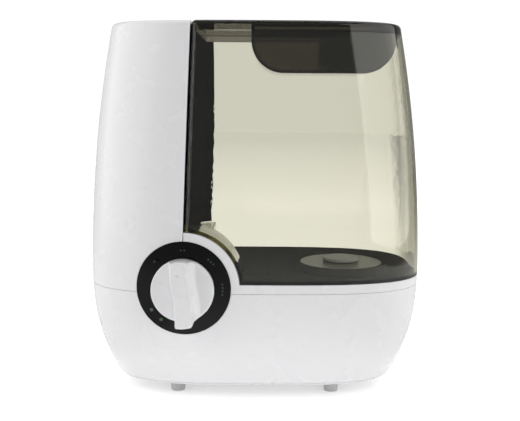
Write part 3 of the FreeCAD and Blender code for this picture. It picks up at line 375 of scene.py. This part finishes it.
def dial_marks():
    """One to four raised dots at each setting round the knob."""
    axis = middle_of("dial_knob")
    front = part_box("dial_bezel")[0][1]
    points, faces = [], []
    for count, bearing in enumerate(MARK_BEARINGS, 1):
        for dot in range(count):
            angle = math.radians(bearing + DOT_STEP * (dot - (count - 1) / 2))
            x = axis.x + MARK_RADIUS * math.sin(angle)
            z = axis.z + MARK_RADIUS * math.cos(angle)
            first = len(points)
            for y in (front - DOT_PROUD, front + DOT_PROUD):
                for side in range(DOT_SIDES):
                    turn = 2 * math.pi * side / DOT_SIDES
                    points.append((x + DOT_RADIUS * math.cos(turn), y, z + DOT_RADIUS * math.sin(turn)))
            faces.append(tuple(range(first, first + DOT_SIDES)))
            faces.append(tuple(reversed(range(first + DOT_SIDES, first + 2 * DOT_SIDES))))
            for side in range(DOT_SIDES):
                after = (side + 1) % DOT_SIDES
                behind = first + DOT_SIDES
                faces.append((first + after, first + side, behind + side, behind + after))
    marks = solid_of("dial_marks", points, faces, MARK_PAINT)
    marks.data.shade_flat()
    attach(marks, "base")


# ---------------------------------------------------------------- the studio

WALL_LEVEL = 1.06       # brightness of the wall behind the object, to the eye
GLASS_WALL_LEVEL = 0.92 # and to glass and gloss
ROOM_LEVEL = 0.27       # brightness of the rest of the room
WALL_EDGE_INNER = 0.978 # the wall ends softly between these cosines from straight back
WALL_EDGE_OUTER = 0.955
UNDER_GLOW = 0.24       # the floor's painted glow beneath the object, kept weak as painted contact shade; it rises quickly outside, then slowly
NEAR_REACH = 0.02
NEAR_GLOW = 0.22
FAR_REACH = 1.2
FAR_GLOW = 0.39
FADE_REACH = 4.5        # and fades again towards the far wall
FADE_GLOW = -0.21
FRONT_DARK = -0.40      # glass mirrors the floor in front, so its glow ends between these places
FRONT_LIT = -0.16
BACKDROP_INNER = 0.190  # to glass, the pale backdrop ends between these slopes to the side
BACKDROP_OUTER = 0.240
EYE_BACK = 0.71         # the slopes spread from this far in front of the object
EYE_GLOW = 1.35         # the eye sees the painted glow this much stronger
BOX_BEARING = 72
BOX_DISTANCE = 0.62
BOX_HEIGHT = 0.42
BOX_WIDTH = 0.87
BOX_TALL = 0.80
BOX_POWER = 3.3


def link_math(tree, kind, operation, first, second=None):
    """A Math or Vector Math node; `second` is a constant or a socket."""
    step = tree.nodes.new(kind)
    step.operation = operation
    tree.links.new(first, step.inputs[0])
    if isinstance(second, bpy.types.NodeSocket):
        tree.links.new(second, step.inputs[1])
    elif second is not None:
        step.inputs[1].default_value = second
    return step


def backdrop(tree, aside, away):
    """1 inside the slopes that bound the pale backdrop, 0 outside."""
    slope = link_math(tree, "ShaderNodeMath", "DIVIDE", aside, away)
    either = link_math(tree, "ShaderNodeMath", "ABSOLUTE", slope.outputs[0])
    inside = tree.nodes.new("ShaderNodeMapRange")
    inside.interpolation_type = "SMOOTHSTEP"
    inside.inputs["From Min"].default_value = BACKDROP_INNER
    inside.inputs["From Max"].default_value = BACKDROP_OUTER
    inside.inputs["To Min"].default_value = 1.0
    inside.inputs["To Max"].default_value = 0.0
    tree.links.new(either.outputs[0], inside.inputs["Value"])
    return inside.outputs["Result"]


def painted_floor_glow(tree):
    """A painted glow on the floor: weak beneath the object, where it paints the contact shade, and more
    outside its footprint, fading far behind and ending in front.
    The eye gets it stronger, and without the backdrop's bounds."""
    low, high = (Vector(c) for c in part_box("bottom_plate"))
    half = (high - low) / 2
    place = tree.nodes.new("ShaderNodeTexCoord")
    vector = "ShaderNodeVectorMath"
    centred = link_math(tree, vector, "SUBTRACT", place.outputs["Object"], (*((low + high) / 2).xy, 0))
    folded = link_math(tree, vector, "ABSOLUTE", centred.outputs[0])
    beyond = link_math(tree, vector, "SUBTRACT", folded.outputs[0], (half.x, half.y, 0))
    outside = link_math(tree, vector, "MAXIMUM", beyond.outputs[0], (0, 0, 0))
    away = link_math(tree, vector, "LENGTH", outside.outputs[0])
    rises = []
    for start, end, least, glow in ((0, NEAR_REACH, UNDER_GLOW, UNDER_GLOW + NEAR_GLOW),
                                    (NEAR_REACH, FAR_REACH, 0, FAR_GLOW),
                                    (FAR_REACH, FADE_REACH, 0, FADE_GLOW)):
        rise = tree.nodes.new("ShaderNodeMapRange")
        rise.inputs["From Min"].default_value = start
        rise.inputs["From Max"].default_value = end
        rise.inputs["To Min"].default_value = least
        rise.inputs["To Max"].default_value = glow
        tree.links.new(away.outputs["Value"], rise.inputs["Value"])
        rises.append(rise.outputs["Result"])
    near_and_far = link_math(tree, "ShaderNodeMath", "ADD", *rises[:2])
    rising = link_math(tree, "ShaderNodeMath", "ADD", near_and_far.outputs[0], rises[2])
    axes = tree.nodes.new("ShaderNodeSeparateXYZ")
    tree.links.new(place.outputs["Object"], axes.inputs["Vector"])
    front = tree.nodes.new("ShaderNodeMapRange")
    front.interpolation_type = "SMOOTHSTEP"
    front.inputs["From Min"].default_value = FRONT_DARK
    front.inputs["From Max"].default_value = FRONT_LIT
    tree.links.new(axes.outputs["Y"], front.inputs["Value"])
    total = link_math(tree, "ShaderNodeMath", "MULTIPLY", rising.outputs[0], front.outputs["Result"])
    path = tree.nodes.new("ShaderNodeLightPath")
    seen = tree.nodes.new("ShaderNodeMix")
    seen.data_type = "FLOAT"
    from_eye = link_math(tree, "ShaderNodeMath", "ADD", axes.outputs["Y"], EYE_BACK)
    tree.links.new(backdrop(tree, axes.outputs["X"], from_eye.outputs[0]), seen.inputs["A"])
    seen.inputs["B"].default_value = EYE_GLOW
    tree.links.new(path.outputs["Is Camera Ray"], seen.inputs["Factor"])
    return link_math(tree, "ShaderNodeMath", "MULTIPLY", total.outputs[0], seen.outputs["Result"]).outputs[0]


def floor():
    """A pale floor with a painted glow, weak beneath the object as painted shade, that runs far past the
    view.
    """
    reach = 6.0
    mesh = bpy.data.meshes.new("studio_floor")
    corners = [(-reach, -reach, 0), (reach, -reach, 0), (reach, reach, 0), (-reach, reach, 0)]
    mesh.from_pydata(corners, [], [(0, 1, 2, 3)])
    material, tree, shader, _ = fresh_nodes("studio_paper")
    shader.inputs["Base Color"].default_value = (0.9, 0.9, 0.9, 1)
    shader.inputs["Roughness"].default_value = 0.9
    shader.inputs["Specular IOR Level"].default_value = 0.0
    shader.inputs["Emission Color"].default_value = (1, 1, 1, 1)
    # the floor's emission is painted light, kept weak beneath the object as painted contact shade
    tree.links.new(painted_floor_glow(tree), shader.inputs["Emission Strength"])
    mesh.materials.append(material)
    sheet = bpy.data.objects.new("studio_floor", mesh)
    bpy.context.scene.collection.objects.link(sheet)


def softbox(name, place, target, width, height, power):
    """A rectangular soft light at `place` that faces `target`."""
    light = bpy.data.lights.new(name, "AREA")
    light.shape = "RECTANGLE"
    light.size = width
    light.size_y = height
    light.energy = power
    lamp = bpy.data.objects.new(name, light)
    lamp.location = place
    lamp.rotation_euler = (Vector(target) - Vector(place)).to_track_quat("-Z", "Y").to_euler()
    bpy.context.scene.collection.objects.link(lamp)


def surroundings():
    """A white room to the eye. Glass, gloss and matt faces meet a dimmer wall behind the object, which falls
    off to the sides and the front."""
    world = bpy.data.worlds.new("studio_white")
    bpy.context.scene.world = world
    world.use_nodes = True
    tree = world.node_tree
    back = tree.nodes["Background"]
    where = tree.nodes.new("ShaderNodeTexCoord")
    axes = tree.nodes.new("ShaderNodeSeparateXYZ")
    tree.links.new(where.outputs["Generated"], axes.inputs["Vector"])
    wall = tree.nodes.new("ShaderNodeMapRange")
    wall.interpolation_type = "SMOOTHSTEP"
    wall.inputs["From Min"].default_value = WALL_EDGE_OUTER
    wall.inputs["From Max"].default_value = WALL_EDGE_INNER
    wall.inputs["To Min"].default_value = ROOM_LEVEL
    wall.inputs["To Max"].default_value = GLASS_WALL_LEVEL
    tree.links.new(axes.outputs["Y"], wall.inputs["Value"])
    path = tree.nodes.new("ShaderNodeLightPath")
    seen = tree.nodes.new("ShaderNodeMix")
    seen.data_type = "FLOAT"
    seen.inputs["B"].default_value = WALL_LEVEL
    tree.links.new(path.outputs["Is Camera Ray"], seen.inputs["Factor"])
    tree.links.new(wall.outputs["Result"], seen.inputs["A"])
    tree.links.new(seen.outputs["Result"], back.inputs["Strength"])
    back.inputs["Color"].default_value = (1, 1, 1, 1)


def round_about(bearing, distance, height):
    """A place `distance` out from the object's axis, `bearing` degrees from the front towards its right."""
    angle = math.radians(bearing)
    return (distance * math.sin(angle), -distance * math.cos(angle), height)


def studio():
    """Two tall boxes at the front corners, a wide one overhead and the white room."""
    surroundings()
    middle = (0, 0, 0.18)
    for name, bearing in (("left_box", -BOX_BEARING), ("right_box", BOX_BEARING)):
        place = round_about(bearing, BOX_DISTANCE, BOX_HEIGHT)
        softbox(name, place, middle, BOX_WIDTH, BOX_TALL, BOX_POWER)
    softbox("top_box", (0, 0.25, 1.1), (0, 0, 0), 1.4, 1.0, 4.0)
    bpy.context.scene.view_settings.view_transform = "Standard"


def camera():
    """A long lens a little above the middle, looking slightly down."""
    lens = bpy.data.cameras.new("camera")
    lens.sensor_width = 36.0
    lens.lens = 56.1
    lens.clip_end = 30
    eye = bpy.data.objects.new("camera", lens)
    dip = math.radians(7.59)
    lean = math.radians(0.34)
    turn = Matrix.Rotation(math.pi / 2 - dip, 4, "X") @ Matrix.Rotation(lean, 4, "Z")
    eye.matrix_world = Matrix.Translation((3.96 * MM, -709.65 * MM, 246.2 * MM)) @ turn
    bpy.context.scene.collection.objects.link(eye)
    bpy.context.scene.camera = eye


finish_nodes()
darken_tank_floor()
painted_shade_sheet()
turning_knob()
dial_marks()
floor()
studio()
camera()
